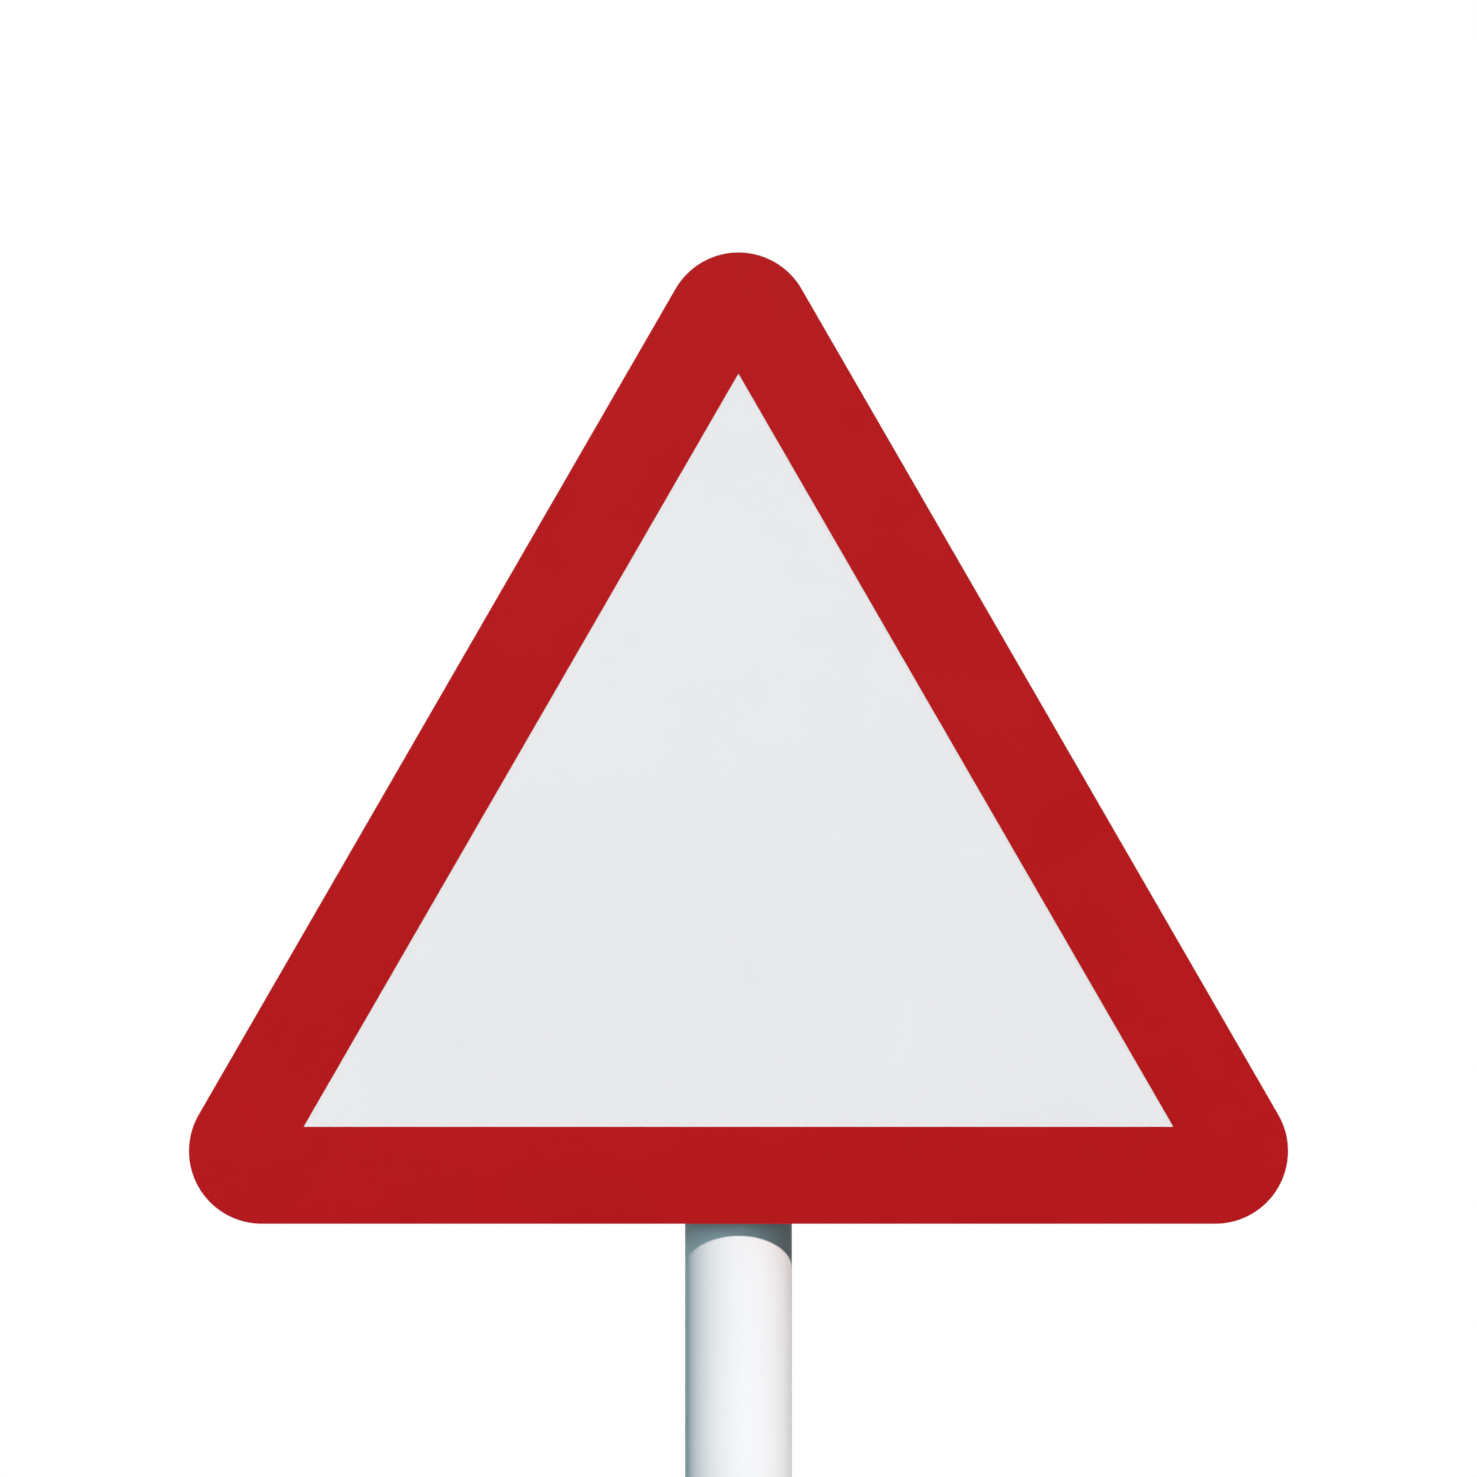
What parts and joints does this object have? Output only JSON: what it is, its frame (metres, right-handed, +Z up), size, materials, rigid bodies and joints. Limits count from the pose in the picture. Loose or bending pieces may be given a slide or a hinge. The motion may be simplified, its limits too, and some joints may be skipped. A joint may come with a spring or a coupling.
{
  "type": "warning triangle road sign",
  "caption": "Blank red-bordered warning triangle on a round coated steel post, held from behind by channels, clips and bolts.",
  "frame": {"origin": "the post's axis at ground level", "axes": "+Z up along the post; the sign's face looks along -Y; +X along the sign's width"},
  "size_m": [0.8486, 0.104, 2.6299],
  "materials": {
    "plate_aluminium": "satin",
    "white_sheeting": "satin",
    "red_film": "satin",
    "coated_post": "satin",
    "cap_plastic": "matte",
    "channel_aluminium": "satin",
    "bonding_tape": "matte",
    "galvanised_clip": "satin",
    "zinc_fasteners": "satin"
  },
  "bodies": {
    "root": {"sign_plate": "plate_aluminium", "white_reflective_sheet": "white_sheeting", "red_border_film": "red_film", "post": "coated_post", "post_cap": "cap_plastic", "lower_channel": "channel_aluminium", "upper_channel": "channel_aluminium", "lower_channel_tape": "bonding_tape", "upper_channel_tape": "bonding_tape", "lower_post_clip": "galvanised_clip", "upper_post_clip": "galvanised_clip", "lower_left_bolt": "zinc_fasteners", "lower_right_bolt": "zinc_fasteners", "upper_left_bolt": "zinc_fasteners", "upper_right_bolt": "zinc_fasteners", "lower_left_washer": "zinc_fasteners", "lower_right_washer": "zinc_fasteners", "upper_left_washer": "zinc_fasteners", "upper_right_washer": "zinc_fasteners", "lower_left_nut": "zinc_fasteners", "lower_right_nut": "zinc_fasteners", "upper_left_nut": "zinc_fasteners", "upper_right_nut": "zinc_fasteners"}
  },
  "joints": []
}
